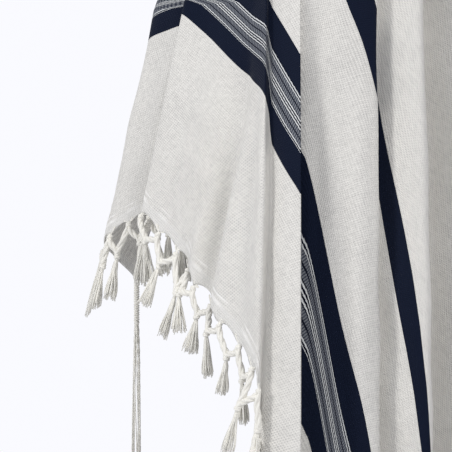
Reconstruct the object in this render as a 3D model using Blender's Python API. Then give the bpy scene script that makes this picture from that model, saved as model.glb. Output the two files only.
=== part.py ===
"""Prayer shawl (tallit) worn over the shoulders, its left end thrown short over the left arm.

+Z is up, the wearer faces -Y, and +X is the wearer's left. The origin is the middle of the neck at
shoulder height. Flat cloth is measured by u, from the left fringed end along the length, and by v,
from the neck edge down the width.
"""
import bpy
import numpy as np

MM = 0.001
LENGTH = 1.600  # between the two fringed ends
WIDTH = 1.100  # from the neck edge to the hem
WALL = 0.002  # modelled cloth wall
FRINGE_REACH = 0.060  # knotted fringe, from the cloth's end to the tips of its tassels
FRINGE_WALL = 0.002
FRINGE_GAP = 0.003  # along the fall, between the cloth's end and the fringe
SHOULDER_Z = -0.070  # height at which the cloth leaves the shoulders and falls
LEVELS = np.array([SHOULDER_Z, -0.270, -0.463, -1.050])  # heights of the four plan outlines
NECK_X, NECK_Y, NECK_Z = 0.072, 0.058, 0.012  # half width, half depth and height of the neck line
NECK_FRONT_DEG = 125.0  # how far round from the nape the neck line reaches on each side
YOKE_ROWS = 5
FALL_ROWS = 14
FRINGE_ROWS = 4
TZITZIT_WOUND = (0.0035, 0.080)  # radius and length of its wound cord
TZITZIT_STRANDS = (0.0070, 0.200)  # radius and length of its free strands
TZITZIT_OFF = 0.007  # clear of the cloth
SIDES = 10
MOST_FLUTE = 0.034
# name, the fall it hangs by, how far above that fall's end, and which face it hangs on
TZITZIT = (
    ("tzitzit_front_left", "front_edge_l", 0.045, 1),
    ("tzitzit_back_left", "low_corner_l", 0.060, 1),
    ("tzitzit_back_right", "low_corner_r", 0.060, 1),
    ("tzitzit_front_right", "front_edge_r", 0.045, 1),
)

# Each row is one line along which the cloth falls, from the left front edge round the back to the
# right front edge. u, v: where it leaves the shoulder. turn: degrees from the width direction to the
# fall, positive towards the left end. neck: degrees round the neck line. x0..y3: plan position at
# LEVELS. flutes: soft waves before the next row. cols: mesh columns before the next row. mm, degrees.
FALL_COLUMNS = (
    "name", "u", "v", "turn", "neck", "x0", "y0", "x1", "y1", "x2", "y2", "x3", "y3", "flutes", "cols",
)
CORNER = None  # the fall runs into the cloth's low corner, and turn follows from that
FALLS = (
    ("front_edge_l", 273.0, 0.0, 90.0, 125, 115, -105, 190, -145, 225, -165, 240, -180, 0, 3),
    ("chest_l", 235.0, 65.0, 104.0, 118, 175, -95, 225, -128, 255, -150, 270, -160, 0, 4),
    ("arm_front", 187.8, 140.0, 121.3, 108, 224, -55, 252, -101, 275, -151, 290, -190, 0, 3),
    ("under_edge", 180.3, 166.0, 114.3, 100, 211.5, -16, 233.2, -70.3, 255.5, -119.3, 270, -170, 0, 3),
    ("arm_tuck", 178.0, 172.0, 87.0, 97, 205, -10, 193.6, -46.3, 185, -90, 180, -130, 0, 3),
    ("arm_edge", 172.9, 175.0, 64.6, 94, 220.8, 1.7, 245.5, -46.2, 264, -101, 285, -150, 0, 4),
    ("arm_back", 189.4, 199.0, 58.0, 86, 203, 23.3, 229.4, 12.1, 246.2, -15.6, 262, -60, 0, 4),
    ("soft_valley", 217.3, 241.0, 53.0, 76, 182.3, 69.4, 209.9, 56.6, 240.1, 53.5, 250, 40, 0, 3),
    ("elbow_fold", 222.5, 250.0, 41.0, 70, 183.3, 92.2, 202.1, 124.2, 218.6, 143.0, 238.1, 156.0, 0, 2),
    ("elbow_tuck", 224.4, 256.0, 34.7, 69, 179.3, 88.5, 195.2, 119.8, 209.9, 130.5, 228.9, 142.6, 0, 2),
    ("elbow_back", 227.9, 261.0, 29.0, 67, 177.3, 90.5, 192.5, 121.2, 207.6, 133.8, 225.8, 146.3, 0, 2),
    ("pleat_edge", 249.3, 272.0, 29.0, 60, 163, 116.5, 179.3, 150.2, 189.7, 170.8, 205, 190, 0, 2),
    ("pleat_tuck", 250.8, 273.0, 19.0, 58, 162.3, 109.7, 180.4, 116.7, 194.6, 112.3, 211.4, 111.1, 0, 2),
    ("low_corner_l", 260.0, 273.6, CORNER, 57, 160, 111, 172, 122, 182, 123, 185, 125, 0, 1),
    ("pleat_back", 259.3, 274.0, 14.5, 56, 158.4, 111.5, 163.8, 127.7, 165.5, 132.4, 165, 140, 0, 3),
    ("blade_l", 292.6, 282.0, 13.8, 45, 128, 125.7, 136, 142.9, 139.4, 150.1, 140, 160, 0, 3),
    ("back_l", 312.7, 288.0, 11.5, 32, 96.3, 131.6, 106, 152.5, 109.8, 160.6, 115, 175, 2, 11),
    ("spine", 500.0, 130.0, 0.0, 0, 0, 118, 0, 145, 0, 150, 0, 190, 2, 11),
    ("blade_r", 680.0, 210.0, -5.0, -28, -80, 128, -90, 155, -95, 160, -110, 210, 1, 6),
    ("back_r", 785.0, 300.0, -13.0, -52, -160, 115, -170, 135, -175, 145, -190, 210, 1, 6),
    ("elbow_r", 845.0, 290.0, -27.0, -68, -205, 75, -228, 100, -255, 120, -280, 190, 1, 6),
    ("low_corner_r", 880.0, 270.0, CORNER, -80, -225, 50, -258, 65, -285, 80, -340, 130, 1, 6),
    ("arm_back_r", 905.0, 245.0, -52.0, -90, -236, 30, -270, 28, -300, 35, -365, 40, 1, 6),
    ("arm_r", 930.0, 205.0, -64.0, -100, -243, -12, -278, -25, -305, -35, -360, -60, 1, 6),
    ("arm_front_r", 920.0, 150.0, -80.0, -108, -225, -60, -255, -85, -285, -105, -330, -160, 0, 4),
    ("chest_r", 880.0, 80.0, -91.0, -117, -180, -95, -195, -125, -215, -140, -230, -180, 0, 4),
    ("front_edge_r", 830.0, 0.0, -90.0, -125, -115, -105, -125, -135, -135, -150, -140, -180, 0, 0),
)


def clear_scene():
    for obj in list(bpy.data.objects):
        bpy.data.objects.remove(obj, do_unlink=True)


def column(name):
    """One column of the table of falls, with turn worked out where a fall runs into a low corner."""
    k = FALL_COLUMNS.index(name)
    if name != "turn":
        return np.array([row[k] for row in FALLS], float)
    found = []
    for row in FALLS:
        u, v = row[1] * MM, row[2] * MM
        across = u if u < LENGTH / 2 else u - LENGTH
        found.append(np.degrees(np.arctan2(across, WIDTH - v)) if row[k] is CORNER else row[k])
    return np.array(found, float)


def smooth_through(at, values, where):
    """Monotone cubic curve through the values: folds keep the reach that the table gives them."""
    step = np.diff(at)
    slope = np.diff(values) / step
    ends = np.zeros(len(values))
    same = slope[:-1] * slope[1:] > 0
    near, far = 2 * step[1:] + step[:-1], step[1:] + 2 * step[:-1]
    safe = np.where(same, slope[:-1] * slope[1:], 1.0)
    ends[1:-1] = np.where(same, (near + far) * safe / (near * slope[1:] + far * slope[:-1] + (~same)), 0.0)
    ends[0], ends[-1] = slope[0], slope[-1]
    k = np.clip(np.searchsorted(at, where, side="right") - 1, 0, len(step) - 1)
    s = (where - at[k]) / step[k]
    h0, h1 = (1 + 2 * s) * (1 - s) ** 2, s * s * (3 - 2 * s)
    g0, g1 = s * (1 - s) ** 2, -s * s * (1 - s)
    return h0 * values[k] + h1 * values[k + 1] + step[k] * (g0 * ends[k] + g1 * ends[k + 1])


def flute_depths(u, v, turn, plan, flutes):
    """Depth of each span's flutes at each level, from how much longer the flat cloth is than its path."""
    depth = np.zeros((len(flutes) - 1, len(LEVELS)))
    for j, z in enumerate(LEVELS):
        drop = SHOULDER_Z - z
        flat = np.stack([u - drop * np.sin(turn), v + drop * np.cos(turn)], 1)
        flat_step = np.linalg.norm(np.diff(flat, axis=0), axis=1)
        path_step = np.linalg.norm(np.diff(plan[:, j], axis=0), axis=1)
        over = np.maximum((flat_step / path_step) ** 2 - 1, 0)
        count = np.maximum(flutes[:-1], 1)
        depth[:, j] = np.where(flutes[:-1] > 0, path_step / (2 * np.pi * count) * np.sqrt(2 * over), 0)
    return np.minimum(depth, MOST_FLUTE)


def falls_at(where):
    """Everything about the falls at fractional row numbers: u, v, turn, neck angle, plan outlines."""
    rows = np.arange(len(FALLS), dtype=float)
    u, v = column("u") * MM, column("v") * MM
    turn = np.radians(column("turn"))
    plan = np.stack([np.stack([column(f"x{j}"), column(f"y{j}")], 1) for j in range(4)], 1) * MM
    flutes = column("flutes")
    spans = flute_depths(u, v, turn, plan, flutes)
    fluted = np.concatenate([[0], np.cumsum(flutes[:-1])])
    middle = rows[:-1] + 0.5
    out = np.stack([
        np.stack([smooth_through(rows, plan[:, j, k], where) for k in range(2)], 1) for j in range(4)
    ], 1)
    wave = np.sin(2 * np.pi * np.interp(where, rows, fluted))
    ahead = np.stack([
        np.stack([smooth_through(rows, plan[:, j, k], where + 0.01) for k in range(2)], 1)
        for j in range(4)
    ], 1) - out
    ahead /= np.maximum(np.linalg.norm(ahead, axis=2, keepdims=True), 1e-9)
    normal = np.stack([ahead[..., 1], -ahead[..., 0]], 2)
    for j in range(4):
        depth = np.interp(where, middle, spans[:, j])
        out[:, j] -= normal[:, j] * (depth * wave)[:, None]
    u, v = smooth_through(rows, u, where), smooth_through(rows, v, where)
    turn = smooth_through(rows, turn, where)
    return u, v, turn, np.radians(smooth_through(rows, column("neck"), where)), out


def falling_points(plan, drops):
    """Points at these lengths down a fall whose plan position is given at each level."""
    heights = np.linspace(LEVELS[0], LEVELS[-1] - 0.35, 240)
    slopes = np.zeros((4, 2))
    for k in range(2):
        step = np.diff(plan[:, k]) / np.diff(LEVELS)
        slopes[:, k] = [step[0], (step[0] + step[1]) / 2, (step[1] + step[2]) / 2, step[2]]
    j = np.clip(np.searchsorted(-LEVELS, -heights, side="right") - 1, 0, 2)
    span = LEVELS[j + 1] - LEVELS[j]
    s = (heights - LEVELS[j]) / span
    past = s > 1
    s = np.minimum(s, 1)[:, None]
    h0, h1 = (1 + 2 * s) * (1 - s) ** 2, s * s * (3 - 2 * s)
    g0, g1 = s * (1 - s) ** 2, -s * s * (1 - s)
    span = span[:, None]
    xy = h0 * plan[j] + h1 * plan[j + 1] + span * (g0 * slopes[j] + g1 * slopes[j + 1])
    xy += past[:, None] * slopes[3] * (heights - LEVELS[-1])[:, None] * 0.5
    path = np.concatenate([xy, heights[:, None]], 1)
    run = np.concatenate([[0], np.cumsum(np.linalg.norm(np.diff(path, axis=0), axis=1))])
    return np.stack([np.interp(drops, run, path[:, k]) for k in range(3)], 1)


def neck_point(angle):
    return np.array([NECK_X * np.sin(angle), NECK_Y * np.cos(angle), NECK_Z * np.cos(angle)])


def over_the_shoulder(angle, knee, fall, rows):
    """A curve from the neck line, out over the shoulder, to where the cloth begins to fall."""
    start = neck_point(angle)
    out = knee - start
    reach = np.linalg.norm(out[:2])
    away = np.array([out[0], out[1], -0.15 * reach]) * 0.55
    lift = fall * -min(0.045, 0.5 * reach)
    s = np.linspace(0, 1, rows + 1)[:, None]
    return (
        (1 - s) ** 3 * start + 3 * s * (1 - s) ** 2 * (start + away)
        + 3 * s * s * (1 - s) * (knee + lift) + s**3 * knee
    )


def fall_length(u, v, turn):
    """How far the cloth reaches down a fall before it meets one of its edges."""
    sin, cos = np.sin(turn), np.cos(turn)
    ways = [2.0]
    if sin > 1e-6:
        ways.append(u / sin)
    if sin < -1e-6:
        ways.append((LENGTH - u) / -sin)
    if cos > 1e-6:
        ways.append((WIDTH - v) / cos)
    return min(ways)


def drape():
    """Row numbers of the falls, and the middle of the cloth as a grid, a fringe's rows after it."""
    counts = column("cols").astype(int)
    where = np.concatenate(
        [k + np.arange(n) / n for k, n in enumerate(counts) if n] + [[len(FALLS) - 1.0]]
    )
    us, vs, turns, necks, plans = falls_at(where)
    grid = []
    for u, v, turn, neck, plan in zip(us, vs, turns, necks, plans):
        long = fall_length(u, v, turn)
        rows = long * (np.arange(FALL_ROWS + 1) / FALL_ROWS)
        beyond = long + np.linspace(FRINGE_GAP, FRINGE_REACH, FRINGE_ROWS)
        fallen = falling_points(plan, np.concatenate([rows, beyond]))
        fall = fallen[1] - fallen[0]
        yoke = over_the_shoulder(neck, fallen[0], fall / np.linalg.norm(fall), YOKE_ROWS)
        grid.append(np.concatenate([yoke[:-1], fallen]))
    return where, np.array(grid)


def grid_normals(grid):
    along = np.gradient(grid, axis=1)
    across = np.gradient(grid, axis=0)
    normal = np.cross(along, across)
    return normal / np.linalg.norm(normal, axis=2, keepdims=True)


def shell(name, grid, normal, wall):
    """A closed wall of this thickness, half to each side of the grid."""
    n, m = grid.shape[:2]
    outer = (grid + normal * wall / 2).reshape(-1, 3)
    inner = (grid - normal * wall / 2).reshape(-1, 3)
    index = np.arange(n * m).reshape(n, m)
    a, b, c, d = index[:-1, :-1], index[1:, :-1], index[1:, 1:], index[:-1, 1:]
    quads = np.stack([a, d, c, b], 2).reshape(-1, 4)
    rim = np.concatenate([index[:, 0], index[-1, 1:], index[-2::-1, -1], index[0, -2:0:-1]])
    after = np.roll(rim, -1)
    sides = np.stack([rim, after, after + n * m, rim + n * m], 1)
    faces = np.concatenate([quads, quads[:, ::-1] + n * m, sides])
    return add_mesh(name, np.concatenate([outer, inner]), faces)


def add_mesh(name, points, faces):
    mesh = bpy.data.meshes.new(name)
    mesh.from_pydata([tuple(p) for p in points], [], [tuple(int(i) for i in f) for f in faces])
    mesh.update()
    obj = bpy.data.objects.new(name, mesh)
    bpy.context.scene.collection.objects.link(obj)
    return obj


def tassel(name, top):
    """A corner tassel hanging straight down from this point: wound cord, then free strands."""
    wound_r, wound_l = TZITZIT_WOUND
    strand_r, strand_l = TZITZIT_STRANDS
    stations = (
        (0, wound_r),
        (wound_l, wound_r),
        (wound_l + 0.01, strand_r * 0.8),
        (wound_l + strand_l, strand_r),
    )
    turn = 2 * np.pi * np.arange(SIDES) / SIDES
    points = [
        (top[0] + r * np.cos(a), top[1] + r * np.sin(a), top[2] - drop)
        for drop, r in stations
        for a in turn
    ]
    faces = [tuple(range(SIDES)), tuple(range(4 * SIDES - 1, 3 * SIDES - 1, -1))]
    for ring in range(3):
        for k in range(SIDES):
            low, high = ring * SIDES, (ring + 1) * SIDES
            after = (k + 1) % SIDES
            faces.append((low + after, low + k, high + k, high + after))
    return add_mesh(name, points, faces)


def tassel_top(row, down, side):
    """Just off one face of the cloth, this length short of the end of the fall in this row."""
    beside = np.array([row, row - 0.05, row + 0.05]).clip(0, len(FALLS) - 1.0)
    us, vs, turns, _, plans = falls_at(beside)
    long = fall_length(us[0], vs[0], turns[0]) - down
    here, below = falling_points(plans[0], np.array([long, long + 0.01]))
    before = falling_points(plans[1], np.array([long]))[0]
    after = falling_points(plans[2], np.array([long]))[0]
    normal = np.cross(below - here, after - before)
    normal /= np.linalg.norm(normal)
    return here + side * normal * (TZITZIT_OFF + TZITZIT_STRANDS[0])


def paint(obj, name, colour, roughness):
    material = bpy.data.materials.new(name)
    material.use_nodes = True
    shader = material.node_tree.nodes["Principled BSDF"]
    shader.inputs["Base Color"].default_value = (*colour, 1)
    shader.inputs["Roughness"].default_value = roughness
    obj.data.materials.append(material)


def build():
    clear_scene()
    where, grid = drape()
    normal = grid_normals(grid)
    cloth = YOKE_ROWS + FALL_ROWS + 1
    names = [row[0] for row in FALLS]
    left = where <= names.index("low_corner_l")
    right = where >= names.index("low_corner_r")
    wool = shell("tallit_cloth", grid[:, :cloth], normal[:, :cloth], WALL)
    paint(wool, "cloth", (0.80, 0.79, 0.76), 0.85)
    for name, rows in (("fringe_left", left), ("fringe_right", right)):
        fringe = shell(name, grid[rows, cloth:], normal[rows, cloth:], FRINGE_WALL)
        paint(fringe, name, (0.84, 0.83, 0.78), 0.9)
    for name, fall, down, side in TZITZIT:
        top = tassel_top(names.index(fall), down, side)
        paint(tassel(name, top), name, (0.86, 0.85, 0.80), 0.9)


build()
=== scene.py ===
import functools
import math

import bpy
import numpy as np
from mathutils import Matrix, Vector


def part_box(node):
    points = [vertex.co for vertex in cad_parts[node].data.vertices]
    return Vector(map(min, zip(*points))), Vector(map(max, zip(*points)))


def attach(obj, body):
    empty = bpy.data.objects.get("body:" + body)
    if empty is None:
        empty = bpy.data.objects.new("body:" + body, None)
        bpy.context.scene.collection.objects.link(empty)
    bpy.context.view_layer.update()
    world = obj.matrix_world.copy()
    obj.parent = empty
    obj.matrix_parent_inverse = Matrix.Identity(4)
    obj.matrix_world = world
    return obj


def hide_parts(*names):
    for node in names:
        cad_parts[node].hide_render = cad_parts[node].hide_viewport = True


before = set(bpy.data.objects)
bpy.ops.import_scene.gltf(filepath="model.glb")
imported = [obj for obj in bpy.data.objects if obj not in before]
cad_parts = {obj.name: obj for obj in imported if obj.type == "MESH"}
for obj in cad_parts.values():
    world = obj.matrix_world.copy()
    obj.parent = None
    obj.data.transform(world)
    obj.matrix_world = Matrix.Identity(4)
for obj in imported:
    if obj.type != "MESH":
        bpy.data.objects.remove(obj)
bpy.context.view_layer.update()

# A prayer shawl (tallit) worn over the shoulders, its left end thrown short over the left arm.
# Flat cloth is measured by u, from the left fringed end along the length, and by v, from the neck
# edge down the width. The cloth falls along the same lines here as its solid does.
MM = 0.001
LENGTH = 1.600  # between the two fringed ends
WIDTH = 1.100  # from the neck edge to the hem
CLOTH_WALL = 0.0009  # thickness of the woven cloth
SHOULDER_Z = -0.070  # height at which the cloth leaves the shoulders and falls
LEVELS = np.array([SHOULDER_Z, -0.270, -0.463, -1.050])  # heights of the four plan outlines
NECK_X, NECK_Y, NECK_Z = 0.072, 0.058, 0.012  # half width, half depth and height of the neck line
NECK_FRONT_DEG = 125.0  # how far round from the nape the neck line reaches on each side
NECK_U_LEFT, NECK_U_NAPE, NECK_U_RIGHT = 0.381, 0.500, 0.720  # u along the neck line
MOST_FLUTE = 0.034  # deepest that a soft wave between two falls may be
YOKE_ROWS = 14  # mesh rows from the neck line to where the cloth begins to fall
FALL_ROWS = 104  # mesh rows from there to its edge
SEED = 7

FALL_COLUMNS = (
    "name", "u", "v", "turn", "neck", "x0", "y0", "x1", "y1", "x2", "y2", "x3", "y3", "flutes", "cols",
)
CORNER = None  # the fall runs into the cloth's low corner, and turn follows from that
FALLS = (
    ("front_edge_l", 273.0, 0.0, 90.0, 125, 115, -105, 190, -145, 225, -165, 240, -180, 0, 8),
    ("chest_l", 235.0, 65.0, 104.0, 118, 175, -95, 225, -128, 255, -150, 270, -160, 0, 10),
    ("arm_front", 187.8, 140.0, 121.3, 108, 224, -55, 252, -101, 275, -151, 290, -190, 0, 12),
    ("under_edge", 180.3, 166.0, 114.3, 100, 211.5, -16, 233.2, -70.3, 255.5, -119.3, 270, -170, 0, 12),
    ("arm_tuck", 178.0, 172.0, 87.0, 97, 205, -10, 193.6, -46.3, 185, -90, 180, -130, 0, 12),
    ("arm_edge", 172.9, 175.0, 64.6, 94, 220.8, 1.7, 245.5, -46.2, 264, -101, 285, -150, 0, 18),
    ("arm_back", 189.4, 199.0, 58.0, 86, 203, 23.3, 229.4, 12.1, 246.2, -15.6, 262, -60, 0, 20),
    ("soft_valley", 217.3, 241.0, 53.0, 76, 182.3, 69.4, 209.9, 56.6, 240.1, 53.5, 250, 40, 0, 16),
    ("elbow_fold", 222.5, 250.0, 41.0, 70, 183.3, 92.2, 202.1, 124.2, 218.6, 143.0, 238.1, 156.0, 0, 10),
    ("elbow_tuck", 224.4, 256.0, 34.7, 69, 179.3, 88.5, 195.2, 119.8, 209.9, 130.5, 228.9, 142.6, 0, 10),
    ("elbow_back", 227.9, 261.0, 29.0, 67, 177.3, 90.5, 192.5, 121.2, 207.6, 133.8, 225.8, 146.3, 0, 18),
    ("pleat_edge", 249.3, 272.0, 29.0, 60, 163, 116.5, 179.3, 150.2, 189.7, 170.8, 205, 190, 0, 10),
    ("pleat_tuck", 250.8, 273.0, 19.0, 58, 162.3, 109.7, 180.4, 116.7, 194.6, 112.3, 211.4, 111.1, 0, 8),
    ("low_corner_l", 260.0, 273.6, CORNER, 57, 160, 111, 172, 122, 182, 123, 185, 125, 0, 5),
    ("pleat_back", 259.3, 274.0, 14.5, 56, 158.4, 111.5, 163.8, 127.7, 165.5, 132.4, 165, 140, 0, 14),
    ("blade_l", 292.6, 282.0, 13.8, 45, 128, 125.7, 136, 142.9, 139.4, 150.1, 140, 160, 0, 12),
    ("back_l", 312.7, 288.0, 11.5, 32, 96.3, 131.6, 106, 152.5, 109.8, 160.6, 115, 175, 2, 36),
    ("spine", 500.0, 130.0, 0.0, 0, 0, 118, 0, 145, 0, 150, 0, 190, 2, 32),
    ("blade_r", 680.0, 210.0, -5.0, -28, -80, 128, -90, 155, -95, 160, -110, 210, 1, 16),
    ("back_r", 785.0, 300.0, -13.0, -52, -160, 115, -170, 135, -175, 145, -190, 210, 1, 16),
    ("elbow_r", 845.0, 290.0, -27.0, -68, -205, 75, -228, 100, -255, 120, -280, 190, 1, 14),
    ("low_corner_r", 880.0, 270.0, CORNER, -80, -225, 50, -258, 65, -285, 80, -340, 130, 1, 14),
    ("arm_back_r", 905.0, 245.0, -52.0, -90, -236, 30, -270, 28, -300, 35, -365, 40, 1, 14),
    ("arm_r", 930.0, 205.0, -64.0, -100, -243, -12, -278, -25, -305, -35, -360, -60, 1, 14),
    ("arm_front_r", 920.0, 150.0, -80.0, -108, -225, -60, -255, -85, -285, -105, -330, -160, 0, 12),
    ("chest_r", 880.0, 80.0, -91.0, -117, -180, -95, -195, -125, -215, -140, -230, -180, 0, 12),
    ("front_edge_r", 830.0, 0.0, -90.0, -125, -115, -105, -125, -135, -135, -150, -140, -180, 0, 0),
)


def column(name):
    """One column of the table of falls, with turn worked out where a fall runs into a low corner."""
    k = FALL_COLUMNS.index(name)
    if name != "turn":
        return np.array([row[k] for row in FALLS], float)
    found = []
    for row in FALLS:
        u, v = row[1] * MM, row[2] * MM
        across = u if u < LENGTH / 2 else u - LENGTH
        found.append(np.degrees(np.arctan2(across, WIDTH - v)) if row[k] is CORNER else row[k])
    return np.array(found, float)


def smooth_through(at, values, where):
    """Monotone cubic curve through the values: folds keep the reach that the table gives them."""
    step = np.diff(at)
    slope = np.diff(values) / step
    ends = np.zeros(len(values))
    same = slope[:-1] * slope[1:] > 0
    near, far = 2 * step[1:] + step[:-1], step[1:] + 2 * step[:-1]
    safe = np.where(same, slope[:-1] * slope[1:], 1.0)
    ends[1:-1] = np.where(same, (near + far) * safe / (near * slope[1:] + far * slope[:-1] + (~same)), 0.0)
    ends[0], ends[-1] = slope[0], slope[-1]
    k = np.clip(np.searchsorted(at, where, side="right") - 1, 0, len(step) - 1)
    s = (where - at[k]) / step[k]
    h0, h1 = (1 + 2 * s) * (1 - s) ** 2, s * s * (3 - 2 * s)
    g0, g1 = s * (1 - s) ** 2, -s * s * (1 - s)
    return h0 * values[k] + h1 * values[k + 1] + step[k] * (g0 * ends[k] + g1 * ends[k + 1])


def flute_depths(u, v, turn, plan, flutes):
    """Depth of each span's flutes at each level, from how much longer the flat cloth is than its path."""
    depth = np.zeros((len(flutes) - 1, len(LEVELS)))
    for j, z in enumerate(LEVELS):
        drop = SHOULDER_Z - z
        flat = np.stack([u - drop * np.sin(turn), v + drop * np.cos(turn)], 1)
        flat_step = np.linalg.norm(np.diff(flat, axis=0), axis=1)
        path_step = np.linalg.norm(np.diff(plan[:, j], axis=0), axis=1)
        over = np.maximum((flat_step / path_step) ** 2 - 1, 0)
        count = np.maximum(flutes[:-1], 1)
        depth[:, j] = np.where(flutes[:-1] > 0, path_step / (2 * np.pi * count) * np.sqrt(2 * over), 0)
    return np.minimum(depth, MOST_FLUTE)


def falls_at(where):
    """Everything about the falls at fractional row numbers: u, v, turn, neck angle, plan outlines."""
    rows = np.arange(len(FALLS), dtype=float)
    u, v = column("u") * MM, column("v") * MM
    turn = np.radians(column("turn"))
    plan = np.stack([np.stack([column(f"x{j}"), column(f"y{j}")], 1) for j in range(4)], 1) * MM
    flutes = column("flutes")
    spans = flute_depths(u, v, turn, plan, flutes)
    fluted = np.concatenate([[0], np.cumsum(flutes[:-1])])
    middle = rows[:-1] + 0.5
    out = np.stack([
        np.stack([smooth_through(rows, plan[:, j, k], where) for k in range(2)], 1) for j in range(4)
    ], 1)
    wave = np.sin(2 * np.pi * np.interp(where, rows, fluted))
    ahead = np.stack([
        np.stack([smooth_through(rows, plan[:, j, k], where + 0.01) for k in range(2)], 1)
        for j in range(4)
    ], 1) - out
    ahead /= np.maximum(np.linalg.norm(ahead, axis=2, keepdims=True), 1e-9)
    normal = np.stack([ahead[..., 1], -ahead[..., 0]], 2)
    for j in range(4):
        depth = np.interp(where, middle, spans[:, j])
        out[:, j] -= normal[:, j] * (depth * wave)[:, None]
    u, v = smooth_through(rows, u, where), smooth_through(rows, v, where)
    turn = smooth_through(rows, turn, where)
    return u, v, turn, np.radians(smooth_through(rows, column("neck"), where)), out


def falling_points(plan, drops):
    """Points at these lengths down a fall whose plan position is given at each level."""
    heights = np.linspace(LEVELS[0], LEVELS[-1] - 0.35, 240)
    slopes = np.zeros((4, 2))
    for k in range(2):
        step = np.diff(plan[:, k]) / np.diff(LEVELS)
        slopes[:, k] = [step[0], (step[0] + step[1]) / 2, (step[1] + step[2]) / 2, step[2]]
    j = np.clip(np.searchsorted(-LEVELS, -heights, side="right") - 1, 0, 2)
    span = LEVELS[j + 1] - LEVELS[j]
    s = (heights - LEVELS[j]) / span
    past = s > 1
    s = np.minimum(s, 1)[:, None]
    h0, h1 = (1 + 2 * s) * (1 - s) ** 2, s * s * (3 - 2 * s)
    g0, g1 = s * (1 - s) ** 2, -s * s * (1 - s)
    span = span[:, None]
    xy = h0 * plan[j] + h1 * plan[j + 1] + span * (g0 * slopes[j] + g1 * slopes[j + 1])
    xy += past[:, None] * slopes[3] * (heights - LEVELS[-1])[:, None] * 0.5
    path = np.concatenate([xy, heights[:, None]], 1)
    run = np.concatenate([[0], np.cumsum(np.linalg.norm(np.diff(path, axis=0), axis=1))])
    return np.stack([np.interp(drops, run, path[:, k]) for k in range(3)], 1)


def neck_point(angle):
    return np.array([NECK_X * np.sin(angle), NECK_Y * np.cos(angle), NECK_Z * np.cos(angle)])


def neck_u(angle):
    share = np.degrees(angle) / NECK_FRONT_DEG
    side = NECK_U_LEFT if share > 0 else NECK_U_RIGHT
    return NECK_U_NAPE + (side - NECK_U_NAPE) * abs(share)


def over_the_shoulder(angle, knee, fall, rows):
    """A curve from the neck line, out over the shoulder, to where the cloth begins to fall."""
    start = neck_point(angle)
    out = knee - start
    reach = np.linalg.norm(out[:2])
    away = np.array([out[0], out[1], -0.15 * reach]) * 0.55
    lift = fall * -min(0.045, 0.5 * reach)
    s = np.linspace(0, 1, rows + 1)[:, None]
    return (
        (1 - s) ** 3 * start + 3 * s * (1 - s) ** 2 * (start + away)
        + 3 * s * s * (1 - s) * (knee + lift) + s**3 * knee
    )


def fall_length(u, v, turn):
    """How far the cloth reaches down a fall, and whether it meets a fringed end there."""
    sin, cos = np.sin(turn), np.cos(turn)
    to_end = u / sin if sin > 1e-6 else (LENGTH - u) / -sin if sin < -1e-6 else 2.0
    to_hem = (WIDTH - v) / cos if cos > 1e-6 else 2.0
    return min(to_end, to_hem), to_end <= to_hem


# Soft troughs and ridges laid on the drape: where across (row number), from and to how far
# down the fall (mm), half width (rows), and height (mm, outwards positive).
CREASES = (
    (6.85, 110, 330, 0.16, -10.0),  # the trough that runs to the fringe
    (7.00, 20, 250, 0.24, -6.0),
    (6.35, 10, 200, 0.28, 2.0),
    (7.90, 60, 340, 0.22, 3.0),  # the bright ridge beside it
    (7.22, 100, 330, 0.18, 7.0),
    (6.50, 170, 300, 0.14, 5.0),
    (6.22, 205, 300, 0.09, -4.0),
    (7.55, 60, 330, 0.13, -3.5),
    (10.55, 20, 330, 0.35, 3.0),
    (6.30, 20, 190, 0.30, 2.5),
    (5.60, 60, 230, 0.20, -2.0),
    (11.05, 215, 300, 0.12, -2.0),  # the notch in the pleat
    (14.6, -30, 60, 0.25, -3.0),
    (15.5, 60, 420, 0.35, 3.5),
    (14.45, 90, 260, 0.18, -2.0),
    (2.45, -20, 150, 0.25, -2.5),
    (4.40, 10, 260, 0.13, -4.0),  # the line under the elbow's edge
    (18.5, 100, 700, 0.25, 3.0),
    (19.4, 200, 800, 0.25, -3.0),
    (23.5, 100, 500, 0.30, -4.0),
    (24.5, 50, 600, 0.25, 4.0),
    (25.4, 150, 700, 0.20, -3.5),
)
KNOT_PITCH = 0.0275  # between the first knots of the fringe, along the end
KNOTS = round(WIDTH / KNOT_PITCH)
SHARP_FOLDS = (3.6, 5.0, 8.5, 9.3, 11.0, 12.5)  # rows where the cloth turns back: no relief there
SCALLOP = 0.0058  # how far the end is drawn back between two knots
PUCKER = 0.0014  # height of the gathers above a knot
PUCKER_REACH = 0.020


def scallop(v):
    """How far the end is drawn back from its straight line, here across the width."""
    return SCALLOP * np.abs(np.sin(np.pi * (v / KNOT_PITCH - 0.5))) ** 0.6


def relief(where, drop, u, v):
    """How far the cloth stands off its drape: creases, slack between folds, gathers above the knots."""
    height = np.zeros_like(drop)
    for row, top, low, half, mm in CREASES:
        across = np.exp(-(((where - row) / half) ** 2))
        top, low = top * MM, low * MM
        fade = 0.35 * (low - top)
        along = np.clip((drop - top) / fade, 0, 1) * np.clip((low - drop) / fade, 0, 1)
        height += mm * MM * across * along * along * (3 - 2 * along)
    slack = np.sin(u * 61 + 2.1 * np.sin(v * 17)) * np.sin(v * 23 + 1.7 * np.sin(u * 31))
    height += 0.0011 * slack
    end = np.minimum(u, LENGTH - u)
    beside = (v / KNOT_PITCH - 0.5) - np.round(v / KNOT_PITCH - 0.5)
    gather = np.cos(6 * np.pi * beside) * np.exp(-((beside / 0.28) ** 2))
    height += PUCKER * gather * np.exp(-np.maximum(end, 0) / PUCKER_REACH)
    for row in SHARP_FOLDS:
        height *= 1 - np.exp(-(((where - row) / 0.4) ** 2))
    return height


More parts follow.
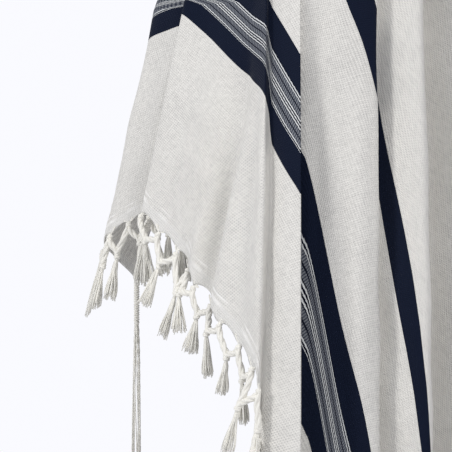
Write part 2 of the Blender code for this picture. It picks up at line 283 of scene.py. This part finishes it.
def drape():
    """Middle of the cloth as a grid: row numbers, points, flat places, and unit normals."""
    counts = column("cols").astype(int)
    where = np.concatenate(
        [k + np.arange(n) / n for k, n in enumerate(counts) if n] + [[len(FALLS) - 1.0]]
    )
    us, vs, turns, necks, plans = falls_at(where)
    share = np.arange(FALL_ROWS + 1) / FALL_ROWS
    yoke_share = np.arange(YOKE_ROWS)[:, None] / YOKE_ROWS
    grid, flat, drops = [], [], []
    for u, v, turn, neck, plan in zip(us, vs, turns, necks, plans):
        long, at_end = fall_length(u, v, turn)
        if at_end:
            long -= scallop(v + long * np.cos(turn)) / max(abs(np.sin(turn)), 0.45)
        rows = long * share
        fallen = falling_points(plan, rows)
        fall = falling_points(plan, np.array([0, 0.02]))
        fall = fall[1] - fall[0]
        yoke = over_the_shoulder(neck, fallen[0], fall / np.linalg.norm(fall), YOKE_ROWS)
        below = np.stack([u - rows * np.sin(turn), v + rows * np.cos(turn)], 1)
        edge = np.array([neck_u(neck), 0.0])
        above = edge + (below[0] - edge) * yoke_share
        grid.append(np.concatenate([yoke[:-1], fallen]))
        flat.append(np.concatenate([above, below]))
        run = np.linalg.norm(yoke[:-1] - fallen[0], axis=1)
        drops.append(np.concatenate([-run, rows]))
    grid, flat, drops = np.array(grid), np.array(flat), np.array(drops)
    normal = grid_normals(grid)
    grid += normal * relief(where[:, None], drops, flat[..., 0], flat[..., 1])[..., None]
    return where, grid, flat, grid_normals(grid)


def grid_normals(grid):
    """Unit directions outwards from a grid of points."""
    normal = np.cross(np.gradient(grid, axis=1), np.gradient(grid, axis=0))
    return normal / np.linalg.norm(normal, axis=2, keepdims=True)


def cloth_piece(name, drape_grid):
    """The cloth as a closed thin shell, with its flat places as UVs."""
    _, grid, flat, normal = drape_grid
    n, m = grid.shape[:2]
    outer = (grid + normal * CLOTH_WALL / 2).reshape(-1, 3)
    inner = (grid - normal * CLOTH_WALL / 2).reshape(-1, 3)
    index = np.arange(n * m).reshape(n, m)
    a, b, c, d = index[:-1, :-1], index[:-1, 1:], index[1:, 1:], index[1:, :-1]
    quads = np.stack([a, b, c, d], 2).reshape(-1, 4)
    rim = np.concatenate([index[:, 0], index[-1, 1:], index[-2::-1, -1], index[0, -2:0:-1]])
    after = np.roll(rim, -1)
    sides = np.stack([rim, after, after + n * m, rim + n * m], 1)
    faces = np.concatenate([quads, quads[:, ::-1] + n * m, sides])
    obj = add_mesh(name, np.concatenate([outer, inner]), faces)
    places = np.tile(flat.reshape(-1, 2), (2, 1))
    loops = np.empty(len(obj.data.loops), np.int32)
    obj.data.loops.foreach_get("vertex_index", loops)
    layer = obj.data.uv_layers.new(name="Flat")
    layer.data.foreach_set("uv", places[loops].astype(np.float32).ravel())
    return obj


def add_mesh(name, points, faces):
    mesh = bpy.data.meshes.new(name)
    points, faces = np.asarray(points, np.float32), np.asarray(faces, np.int32)
    side = faces.shape[1]
    mesh.vertices.add(len(points))
    mesh.vertices.foreach_set("co", points.ravel())
    mesh.loops.add(faces.size)
    mesh.loops.foreach_set("vertex_index", faces.ravel())
    mesh.polygons.add(len(faces))
    mesh.polygons.foreach_set("loop_start", np.arange(0, faces.size, side, dtype=np.int32))
    mesh.polygons.foreach_set("loop_total", np.full(len(faces), side, np.int32))
    mesh.polygons.foreach_set("use_smooth", np.full(len(faces), True))
    mesh.update(calc_edges=True)
    mesh.validate()
    obj = bpy.data.objects.new(name, mesh)
    bpy.context.scene.collection.objects.link(obj)
    return obj


# ---------------------------------------------------------------------------------- cords and knots


class Yarn:
    """Collects tubes into one mesh."""

    def __init__(self):
        self.points, self.faces, self.count = [], [], 0

    def tube(self, path, radii, sides):
        """A closed tube along a path of points, with a radius for each."""
        path = np.asarray(path, float)
        radii = np.broadcast_to(radii, len(path))
        ahead = np.gradient(path, axis=0)
        ahead /= np.maximum(np.linalg.norm(ahead, axis=1, keepdims=True), 1e-9)
        side = np.cross(ahead[0], [0.31, 0.52, 0.79])
        frames = []
        for step in ahead:
            side = side - step * (side @ step)
            side /= max(np.linalg.norm(side), 1e-9)
            frames.append(side)
        side = np.array(frames)
        up = np.cross(ahead, side)
        turn = 2 * np.pi * np.arange(sides) / sides
        cos, sin = np.cos(turn)[None, :, None], np.sin(turn)[None, :, None]
        ring = side[:, None] * cos + up[:, None] * sin
        rings = path[:, None] + ring * radii[:, None, None]
        n = len(path)
        index = self.count + np.arange(n * sides).reshape(n, sides)
        after = np.roll(index, -1, axis=1)
        quads = np.stack([index[:-1], after[:-1], after[1:], index[1:]], 2).reshape(-1, 4)
        tips = self.count + n * sides
        start, end = np.full(sides, tips), np.full(sides, tips + 1)
        first = np.stack([index[0], start, start, after[0]], 1)
        last = np.stack([index[-1], after[-1], end, end], 1)
        self.points += [rings.reshape(-1, 3), path[[0, -1]]]
        self.faces += [quads, first, last]
        self.count += n * sides + 2

    def make(self, name):
        points, faces = np.concatenate(self.points), np.concatenate(self.faces)
        mesh = bpy.data.meshes.new(name)
        tidy = [
            tuple(int(f[k]) for k in range(4) if k == 0 or f[k] != f[k - 1]) for f in faces
        ]
        mesh.from_pydata([tuple(p) for p in points], [], tidy)
        mesh.polygons.foreach_set("use_smooth", np.full(len(mesh.polygons), True))
        mesh.update()
        obj = bpy.data.objects.new(name, mesh)
        bpy.context.scene.collection.objects.link(obj)
        return obj


def bezier(start, first, second, end, steps):
    """Points along the curve from start to end that first and second pull on."""
    s = np.linspace(0, 1, steps)[:, None]
    return (
        (1 - s) ** 3 * start + 3 * s * (1 - s) ** 2 * first
        + 3 * s * s * (1 - s) * second + s**3 * end
    )


def square_to(direction):
    """Two directions square to this one and to each other."""
    side = np.cross(direction, [0.27, 0.61, 0.74])
    side /= np.linalg.norm(side)
    return side, np.cross(direction, side)


def plied(yarn, path, radius, plies, turns, sides):
    """Plies that wind round a path: a slack cord of a few soft yarns."""
    ahead = np.gradient(path, axis=0)
    ahead /= np.linalg.norm(ahead, axis=1, keepdims=True)
    side, up = square_to(ahead[len(ahead) // 2])
    s = np.linspace(0, 1, len(path))
    for k in range(plies):
        angle = 2 * np.pi * (k / plies + turns * s)
        off = side * np.cos(angle)[:, None] + up * np.sin(angle)[:, None]
        yarn.tube(path + off * radius * 0.52, radius * 0.62, sides)


def knot(yarn, centre, direction, size, rng):
    """An overhand knot: two crossing wraps round the bundle."""
    direction = direction / np.linalg.norm(direction)
    side, up = square_to(direction)
    turn = np.linspace(0, 2 * np.pi, 13)
    for tilt in (0.55, -0.45):
        tilt += rng.uniform(-0.15, 0.15)
        ring = (
            side * np.cos(turn)[:, None] + up * np.sin(turn)[:, None]
            + direction * (tilt * np.sin(turn + rng.uniform(0, 6)))[:, None]
        )
        yarn.tube(centre + ring * size * 0.62, size * 0.46, 6)
    core = centre + direction * np.linspace(-1.1, 1.1, 5)[:, None] * size
    yarn.tube(core, size * np.array([0.4, 0.62, 0.7, 0.62, 0.45]), 7)


STRAND_RADIUS, STRAND_STEPS = 0.00058, 7  # of a tassel's cut ends


def tassel(yarn, start, direction, length, spread, strands, rng):
    """Cut ends that leave a knot together and splay as they hang."""
    side, up = square_to(direction)
    for _ in range(strands):
        angle, far = rng.uniform(0, 2 * np.pi), np.sqrt(rng.uniform(0.02, 1))
        out = (side * np.cos(angle) + up * np.sin(angle)) * far
        reach = length * rng.uniform(0.84, 1.0)
        curl = (side * rng.normal() + up * rng.normal()) * 0.0016
        begin = start + out * 0.0011
        end = start + direction * reach + out * spread
        first = start + direction * reach * 0.3 + out * 0.0021 + curl
        second = start + direction * reach * 0.7 + out * spread * 0.9 - curl
        radii = STRAND_RADIUS * np.linspace(1.1, 0.8, STRAND_STEPS)
        yarn.tube(bezier(begin, first, second, end, STRAND_STEPS), radii, 4)


DOWN = np.array([0.0, 0.0, -1.0])
FRINGE_GAP = 0.0016  # from the cloth's end to the middle of a first knot
GATHERED_ENDS = 7  # warp ends that run from the cloth into a first knot
GATHER_RISE, GATHER_HALF = 0.0045, 0.0085  # how far up the cloth they start, and to each side
GATHER_RADIUS = 0.00055
KNOT_SIZE = 0.0028
LEG_RADIUS, LEG_PLIES, LEG_STEPS = 0.0028, 3, 11
LEG_BOW = 0.002  # how far the legs of the net bow apart
SECOND_LEAN, TASSEL_LEAN = 0.16, 0.19  # unevenness of the second knots' places, and of the tassels
NET_DROP = 0.0265  # from the first row of knots to the second
TASSEL_LENGTH = 0.0360
TASSEL_STRANDS = 38
TASSEL_SPREAD = (0.0044, 0.0074)  # radius of its cut end, least and most
EDGE_STRANDS, EDGE_SPREAD = 12, 0.003  # of the single tassel at each side of a fringe


def end_points(drape_grid, first_row, last_row):
    """The first knots along one fringed end, on the cloth's own edge: places, and falls there."""
    where, grid, flat, _ = drape_grid
    side = (where >= first_row) & (where <= last_row)
    edge, above, v_end = grid[side, -1], grid[side, -7], flat[side, -1, 1]
    order = np.argsort(v_end)
    wanted = (np.arange(KNOTS) + 0.5) * KNOT_PITCH
    places, before = (
        np.stack([np.interp(wanted, v_end[order], points[order, k]) for k in range(3)], 1)
        for points in (edge, above)
    )
    falls = places - before
    falls /= np.linalg.norm(falls, axis=1, keepdims=True)
    return places + falls * FRINGE_GAP, falls


def fringe_piece(name, drape_grid, first_row, last_row, seed):
    """The warp ends in a net: first knots at the cloth, two legs from each, second knots, tassels."""
    rng = np.random.default_rng(seed)
    yarn = Yarn()
    tops, falls = end_points(drape_grid, first_row, last_row)
    along = np.gradient(tops, axis=0)
    along /= np.linalg.norm(along, axis=1, keepdims=True)
    outward = falls - along * np.sum(falls * along, axis=1, keepdims=True)
    outward /= np.linalg.norm(outward, axis=1, keepdims=True)
    leans = falls * 0.62 + outward * 0.38
    leans /= np.linalg.norm(leans, axis=1, keepdims=True)
    seconds = []
    for k in range(KNOTS - 1):
        middle = (tops[k] + tops[k + 1]) / 2
        lean = leans[k] + leans[k + 1]
        lean = lean / np.linalg.norm(lean) + rng.normal(0, SECOND_LEAN, 3)
        half = np.linalg.norm(tops[k + 1] - tops[k]) / 2
        drop = math.sqrt(max(NET_DROP**2 - half**2, (0.5 * NET_DROP) ** 2))
        seconds.append(middle + lean * (drop * rng.uniform(0.92, 1.1)))
    for k in range(KNOTS):
        root = tops[k] - falls[k] * GATHER_RISE
        for _ in range(GATHERED_ENDS):
            start = root + along[k] * rng.uniform(-GATHER_HALF, GATHER_HALF) - outward[k] * 0.001
            first, second = start + outward[k] * 0.002, tops[k] - falls[k] * 0.002
            yarn.tube(bezier(start, first, second, tops[k], 5), GATHER_RADIUS, 4)
        knot(yarn, tops[k] + falls[k] * 0.0012, leans[k], KNOT_SIZE, rng)
        below = tops[k] + falls[k] * 0.003
        for j in (k - 1, k):
            if 0 <= j < KNOTS - 1:
                to = seconds[j]
                bow = along[k] * (LEG_BOW if j == k else -LEG_BOW)
                first, second = below + leans[k] * 0.008 + bow, to - leans[k] * 0.006 + bow
                path = bezier(below, first, second, to, LEG_STEPS)
                plied(yarn, path, LEG_RADIUS, LEG_PLIES, rng.uniform(0.7, 1.4), 5)
            elif k in (0, KNOTS - 1):
                length = NET_DROP + TASSEL_LENGTH
                tassel(yarn, below, leans[k], length, EDGE_SPREAD, EDGE_STRANDS, rng)
    for k, second in enumerate(seconds):
        direction = DOWN * 0.72 + leans[k] * 0.42 + rng.normal(0, TASSEL_LEAN, 3)
        direction /= np.linalg.norm(direction)
        knot(yarn, second, direction, KNOT_SIZE * 1.08, rng)
        length = TASSEL_LENGTH * rng.uniform(0.85, 1.12)
        spread = rng.uniform(*TASSEL_SPREAD)
        tassel(yarn, second + direction * 0.002, direction, length, spread, TASSEL_STRANDS, rng)
    return yarn.make(name)


WOUND = 0.080  # length of a corner tassel's wound cord
WRAPS, WRAP_STEPS = 34, 8
WRAP_RADIUS, WRAP_CORD = 0.0022, 0.0009
KNOT_LEVELS = (0.004, 0.024, 0.043, 0.062, 0.081)
FREE_STRANDS, FREE_LENGTH = 8, 0.198


def tzitzit_piece(name, seed):
    """A corner tassel in its solid's place: knots, wound cord in four runs, eight strands."""
    rng = np.random.default_rng(seed)
    low, high = (np.array(corner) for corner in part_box(name))
    middle = (low + high) / 2
    top = np.array([middle[0], middle[1], high[2]])
    yarn = Yarn()
    turn = np.linspace(0, WRAPS * 2 * np.pi, WRAPS * WRAP_STEPS + 1)
    drop = np.linspace(0.006, WOUND, len(turn))
    coil = np.stack([WRAP_RADIUS * np.cos(turn), WRAP_RADIUS * np.sin(turn), -drop], 1)
    yarn.tube(top + coil, WRAP_CORD, 5)
    yarn.tube(top + np.outer(np.linspace(0, WOUND, 9), DOWN), 0.0019, 8)
    for level in KNOT_LEVELS:
        knot(yarn, top + DOWN * level, DOWN, 0.0026, rng)
    for k in range(FREE_STRANDS):
        angle = 2 * np.pi * k / FREE_STRANDS + rng.uniform(-0.2, 0.2)
        out = np.array([np.cos(angle), np.sin(angle), 0])
        start = top + DOWN * WOUND + out * 0.0015
        end = top + DOWN * (WOUND + FREE_LENGTH * rng.uniform(0.94, 1.0))
        end = end + out * rng.uniform(0.002, 0.006)
        sway = np.array([rng.normal(), rng.normal(), 0]) * 0.0018
        path = bezier(start, start + DOWN * 0.05 + out * 0.003 + sway, end - DOWN * 0.06 - sway, end, 18)
        plied(yarn, path, 0.00085, 2, 9, 4)
    return yarn.make(name.replace("tzitzit", "corner_tassel"))


# ---------------------------------------------------------------------------------------- materials


class Nodes:
    """Short names for building a node tree."""

    def __init__(self, name):
        self.material = bpy.data.materials.new(name)
        self.material.use_nodes = True
        self.tree = self.material.node_tree
        self.shader = self.tree.nodes["Principled BSDF"]

    def node(self, kind, **inputs):
        node = self.tree.nodes.new(kind)
        for key, value in inputs.items():
            self.put(node.inputs[key], value)
        return node

    def put(self, socket, value):
        if isinstance(value, bpy.types.NodeSocket):
            self.tree.links.new(value, socket)
        else:
            socket.default_value = value

    def math(self, operation, *values):
        node = self.tree.nodes.new("ShaderNodeMath")
        node.operation = operation
        for socket, value in zip(node.inputs, values):
            self.put(socket, value)
        return node.outputs[0]

    def mix(self, factor, first, second):
        node = self.tree.nodes.new("ShaderNodeMix")
        node.data_type = "RGBA"
        self.put(node.inputs["Factor"], factor)
        self.put(node.inputs["A"], first)
        self.put(node.inputs["B"], second)
        return node.outputs["Result"]

    def steps(self, value, stops):
        """1 inside the ranges of stops, 0 outside: a list of edges, each turning it on or off."""
        node = self.tree.nodes.new("ShaderNodeValToRGB")
        node.color_ramp.interpolation = "CONSTANT"
        self.put(node.inputs["Fac"], value)
        for k, edge in enumerate(stops):
            element = node.color_ramp.elements.new(edge)
            element.color = (1, 1, 1, 1) if k % 2 == 0 else (0, 0, 0, 1)
        node.color_ramp.elements[0].color = (0, 0, 0, 1)
        node.color_ramp.elements.remove(node.color_ramp.elements[-1])
        return node.outputs["Color"]


OFF_WHITE = (0.80, 0.787, 0.752, 1)
OFF_WHITE_DEEP = (0.55, 0.542, 0.525, 1)
SMOOTH_WHITE = (0.78, 0.775, 0.755, 1)
PICK_WHITE = (0.93, 0.92, 0.90, 1)
NAVY = (0.0032, 0.0056, 0.0165, 1)
NAVY_LIGHT = (0.010, 0.018, 0.044, 1)
THREAD_WHITE = (0.72, 0.74, 0.75, 1)
CREAM = (0.93, 0.92, 0.87, 1)
# The cords' darker tone: fibre mottle, and painted shade for the hollows where the strands shade each
# other.
CREAM_MOTTLE_AND_SHADE = (0.84, 0.82, 0.76, 1)
# The stripes, in mm from the nearer fringed end.
BAND_FROM, BAND_TO = 165.0, 224.0
CHECK_FROM, CHECK_TO = 182.0, 207.0
LINE_FROM, LINE_TO = 294.0, 310.0
BRIGHT_PICKS = (12.4, 14.2, 17.2, 18.8)
SMOOTH_END = 14.0
RANGE = 400.0  # the stretch that the stripes' ramps cover
STROKE = 4.7  # mm between the breaks in the white threads of the patterned band
# The white threads on each side of that band's middle: how far from it, and half width, in mm.
STROKES = ((0.0, 0.36), (1.85, 0.42), (10.0, 0.38), (11.8, 0.45))
DARK_LINE = (6.1, 0.45)  # the navy line between them, the same way
THREAD = 1.90  # mm between neighbouring threads
FIBRE_SCALE = 380.0  # of the noise that mottles the cords and lays on their painted shade


def range_mask(nodes, value, edges):
    return nodes.steps(nodes.math("DIVIDE", value, RANGE), [edge / RANGE for edge in edges])


def cloth_material():
    n = Nodes("cloth_woven")
    uv = n.node("ShaderNodeUVMap")
    uv.uv_map = "Flat"
    flat = n.node("ShaderNodeSeparateXYZ", Vector=uv.outputs["UV"]).outputs
    half = LENGTH / 2
    end = n.math("SUBTRACT", half, n.math("ABSOLUTE", n.math("SUBTRACT", flat["X"], half)))
    across = n.math("MULTIPLY", end, 1000.0)
    along = n.math("MULTIPLY", flat["Y"], 1000.0)

    def noise(scale_u, scale_v, detail=2.0, rough=0.5):
        scaled_u = n.math("MULTIPLY", flat["X"], scale_u)
        scaled_v = n.math("MULTIPLY", flat["Y"], scale_v)
        place = n.node("ShaderNodeCombineXYZ", X=scaled_u, Y=scaled_v, Z=0.0)
        made = n.node(
            "ShaderNodeTexNoise", Vector=place.outputs[0], Scale=1.0, Detail=detail, Roughness=rough
        )
        return made.outputs["Fac"]

    def threads(value, wander):
        turn = n.math("MULTIPLY_ADD", value, 2 * math.pi / THREAD, n.math("MULTIPLY", wander, 3.0))
        return n.math("MULTIPLY_ADD", n.math("SINE", turn), 0.5, 0.5)

    warp = threads(along, noise(3, 60))
    weft = threads(across, noise(60, 3))
    slub_warp = noise(110, 560, 1.0)
    slub_weft = noise(560, 110, 1.0)
    blocks = n.math("ADD", noise(34, 5, 1.0), noise(5, 34, 1.0))
    open_share = n.math("MULTIPLY_ADD", blocks, 1.3, -0.45)
    gaps = n.math("MULTIPLY", n.math("MULTIPLY", warp, weft), open_share)
    slubs = n.math("ADD", slub_warp, slub_weft)
    uneven = n.math("MULTIPLY_ADD", slubs, -0.8, 0.86)
    shade = n.math("ADD", n.math("MULTIPLY", gaps, 0.85), uneven)
    shade = n.node("ShaderNodeClamp", Value=shade, Min=0.0, Max=1.0).outputs[0]
    plain = n.mix(shade, OFF_WHITE, OFF_WHITE_DEEP)

    # The last of the cloth before the fringe: smoother, with two broken bright picks above it.
    picks = range_mask(n, across, BRIGHT_PICKS)
    near_end = range_mask(n, across, [0.0, SMOOTH_END])
    plain = n.mix(n.math("MULTIPLY", near_end, 0.5), plain, SMOOTH_WHITE)
    seen = n.math("MULTIPLY_ADD", noise(4, 38, 0.0), 4.2, -1.9)
    seen = n.node("ShaderNodeClamp", Value=seen, Min=0.04, Max=0.8).outputs[0]
    plain = n.mix(n.math("MULTIPLY", picks, seen), plain, PICK_WHITE)

    # The patterned band: twisted white threads at its edges and middle, grey-blue between.
    band = n.math("SUBTRACT", across, CHECK_FROM)
    from_middle = n.math("SUBTRACT", band, (CHECK_TO - CHECK_FROM) / 2)
    mirrored = n.math("ABSOLUTE", from_middle)
    twist = n.math("MULTIPLY_ADD", n.math("FRACT", n.math("DIVIDE", along, STROKE)), 0.30, -0.15)
    leaning = n.math("ADD", mirrored, twist)
    strokes = [n.math("COMPARE", leaning, at, half) for at, half in STROKES]
    all_strokes = functools.reduce(lambda one, two: n.math("ADD", one, two), strokes)
    white_thread = n.math("MINIMUM", all_strokes, 1.0)
    edge_zone = n.math("GREATER_THAN", mirrored, 9.3)
    middle_zone = n.math("LESS_THAN", mirrored, 2.9)
    threaded = n.math("MAXIMUM", edge_zone, middle_zone)
    dark_line = n.math("COMPARE", mirrored, *DARK_LINE)
    dash = n.math("FRACT", n.math("DIVIDE", n.math("MULTIPLY_ADD", across, 0.8, along), 2.3))
    dashes = n.math("LESS_THAN", dash, 0.5)
    grey_blue = n.mix(n.math("MULTIPLY_ADD", dashes, 0.20, 0.07), NAVY_LIGHT, THREAD_WHITE)
    grey_blue = n.mix(dark_line, grey_blue, NAVY)
    pinstripe = n.mix(white_thread, NAVY, THREAD_WHITE)
    pattern = n.mix(threaded, grey_blue, pinstripe)

    twill = n.math("FRACT", n.math("DIVIDE", n.math("ADD", across, along), 1.3))
    navy = n.mix(n.math("MULTIPLY", twill, 0.55), NAVY, NAVY_LIGHT)
    is_navy = range_mask(n, across, [BAND_FROM, BAND_TO, LINE_FROM, LINE_TO])
    is_pattern = range_mask(n, across, [CHECK_FROM, CHECK_TO])
    colour = n.mix(is_pattern, n.mix(is_navy, plain, navy), pattern)
    n.put(n.shader.inputs["Base Color"], colour)
    n.shader.inputs["Roughness"].default_value = 0.88
    n.shader.inputs["Sheen Weight"].default_value = 0.04
    n.shader.inputs["Sheen Roughness"].default_value = 0.5
    n.shader.inputs["Specular IOR Level"].default_value = 0.1
    height = n.math("ADD", n.math("ADD", warp, weft), n.math("MULTIPLY", slubs, 0.8))
    bump = n.node("ShaderNodeBump", Strength=0.55, Distance=0.0004, Height=height)
    n.put(n.shader.inputs["Normal"], bump.outputs["Normal"])
    return n.material


def cord_material(name, colour, mottle_and_shade, scale):
    """Soft wool cord: fine fibres along it, and a darker tone laid on by the same noise: fibre mottle, and
    painted shade for its hollows.
    """
    n = Nodes(name)
    place = n.node("ShaderNodeTexCoord").outputs["Object"]
    fibres = n.node("ShaderNodeTexNoise", Vector=place, Scale=scale, Detail=3.0, Roughness=0.6)
    # Painted shade: the darker tone that the fibre noise lays on stands for shade in the cord's hollows,
    # as well as for fibre mottle.
    n.put(n.shader.inputs["Base Color"], n.mix(fibres.outputs["Fac"], colour, mottle_and_shade))
    n.shader.inputs["Roughness"].default_value = 0.9
    n.shader.inputs["Sheen Weight"].default_value = 0.2
    n.shader.inputs["Specular IOR Level"].default_value = 0.2
    bump = n.node("ShaderNodeBump", Strength=0.5, Distance=0.0003, Height=fibres.outputs["Fac"])
    n.put(n.shader.inputs["Normal"], bump.outputs["Normal"])
    return n.material


def plain_material(name, colour, roughness):
    n = Nodes(name)
    place = n.node("ShaderNodeTexCoord").outputs["Object"]
    grain = n.node("ShaderNodeTexNoise", Vector=place, Scale=3.0, Detail=2.0)
    lighter = tuple(min(1.0, c * 1.02) for c in colour)
    n.put(n.shader.inputs["Base Color"], n.mix(grain.outputs["Fac"], (*colour, 1), (*lighter, 1)))
    n.shader.inputs["Roughness"].default_value = roughness
    return n.material


# ------------------------------------------------------------------------------------ the stage

VIEW_AZIMUTH = 155.0  # from behind the wearer's left shoulder
VIEW_WIDTH = 0.393  # what the picture spans at the cloth
VIEW_ACROSS, VIEW_DEPTH, VIEW_Z = -0.162, 0.15, -0.2665
LENS = 200.0
SENSOR = 36.0
FLOOR_Z = -1.43
FLOOR_HALF = 2.2
STUDIO_DIM, STUDIO_BRIGHT = (0.52, 0.525, 0.555, 1), (0.955, 0.96, 1.0, 1)
LIGHTS_AIM = Vector((0.1, 0.1, -0.3))


def view_axes():
    a = math.radians(VIEW_AZIMUTH)
    back = Vector((math.sin(a), -math.cos(a), 0))
    right = Vector((math.cos(a), math.sin(a), 0))
    return back, right


def make_camera():
    back, right = view_axes()
    target = right * VIEW_ACROSS + back * VIEW_DEPTH + Vector((0, 0, VIEW_Z))
    camera = bpy.data.cameras.new("camera")
    camera.lens, camera.sensor_width = LENS, SENSOR
    camera.clip_end = 50
    obj = bpy.data.objects.new("camera", camera)
    obj.location = target + back * (VIEW_WIDTH * LENS / SENSOR)
    obj.rotation_euler = back.to_track_quat("Z", "Y").to_euler()
    bpy.context.scene.collection.objects.link(obj)
    bpy.context.scene.camera = obj


def area_light(name, place, size, power, colour):
    light = bpy.data.lights.new(name, "AREA")
    light.shape = "SQUARE"
    light.size = size
    light.energy = power
    light.color = colour
    obj = bpy.data.objects.new(name, light)
    obj.location = place
    obj.rotation_euler = (place - LIGHTS_AIM).to_track_quat("Z", "Y").to_euler()
    bpy.context.scene.collection.objects.link(obj)


def make_stage():
    corners = [
        (x * FLOOR_HALF, y * FLOOR_HALF, FLOOR_Z) for x, y in ((-1, -1), (1, -1), (1, 1), (-1, 1))
    ]
    floor = add_mesh("floor", corners, [(0, 1, 2, 3)])
    floor.data.materials.append(plain_material("floor_paint", (0.80, 0.80, 0.81), 0.7))
    world = bpy.data.worlds.new("studio")
    bpy.context.scene.world = world
    world.use_nodes = True
    tree = world.node_tree
    ground = tree.nodes["Background"]
    ground.inputs["Strength"].default_value = 1.0
    back, right = view_axes()
    # Brightest behind the shawl, as a lit backdrop is, and dimmer all round the rest of the studio.
    place = tree.nodes.new("ShaderNodeTexCoord")
    facing = tree.nodes.new("ShaderNodeVectorMath")
    facing.operation = "DOT_PRODUCT"
    facing.inputs[1].default_value = -back
    tree.links.new(place.outputs["Generated"], facing.inputs[0])
    fade = tree.nodes.new("ShaderNodeMapRange")
    fade.interpolation_type = "SMOOTHSTEP"
    fade.inputs["From Min"].default_value = 0.1
    fade.inputs["From Max"].default_value = 0.9
    tree.links.new(facing.outputs["Value"], fade.inputs["Value"])
    blend = tree.nodes.new("ShaderNodeMix")
    blend.data_type = "RGBA"
    blend.inputs["A"].default_value = STUDIO_DIM
    blend.inputs["B"].default_value = STUDIO_BRIGHT
    tree.links.new(fade.outputs["Result"], blend.inputs["Factor"])
    tree.links.new(blend.outputs["Result"], ground.inputs["Color"])
    key = LIGHTS_AIM + right * 0.9 + back * 1.9 + Vector((0, 0, 1.3))
    side = LIGHTS_AIM - right * 1.75 + back * 1.15 + Vector((0, 0, 0.8))
    front = LIGHTS_AIM - back * 2.0 + Vector((0.3, 0, 0.8))
    area_light("key", key, 0.6, 16.5, (1, 0.98, 0.95))
    area_light("side", side, 0.5, 18, (1, 0.99, 0.97))
    area_light("front", front, 1.6, 4, (1, 1, 1))
    bpy.context.scene.view_settings.view_transform = "Standard"


# ---------------------------------------------------------------------------------- the garment

make_camera()
make_stage()
rows = [row[0] for row in FALLS]
cord_look = cord_material("fringe_cord", CREAM, CREAM_MOTTLE_AND_SHADE, FIBRE_SCALE)
tassel_look = cord_material("tassel_cord", CREAM, CREAM_MOTTLE_AND_SHADE, FIBRE_SCALE)

draped = drape()
cloth = cloth_piece("shawl", draped)
cloth.data.materials.append(cloth_material())
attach(cloth, "root")
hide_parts("tallit_cloth")

for name, node, first, last, seed in (
    ("knotted_fringe_left", "fringe_left", 0.0, float(rows.index("low_corner_l")), SEED),
    ("knotted_fringe_right", "fringe_right", float(rows.index("low_corner_r")), len(rows) - 1.0, SEED + 1),
):
    piece = fringe_piece(name, draped, first, last, seed)
    piece.data.materials.append(cord_look)
    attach(piece, "root")
    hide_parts(node)

for k, node in enumerate(
    ("tzitzit_front_left", "tzitzit_back_left", "tzitzit_back_right", "tzitzit_front_right")
):
    piece = tzitzit_piece(node, SEED + 10 + k)
    piece.data.materials.append(tassel_look)
    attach(piece, "root")
    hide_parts(node)
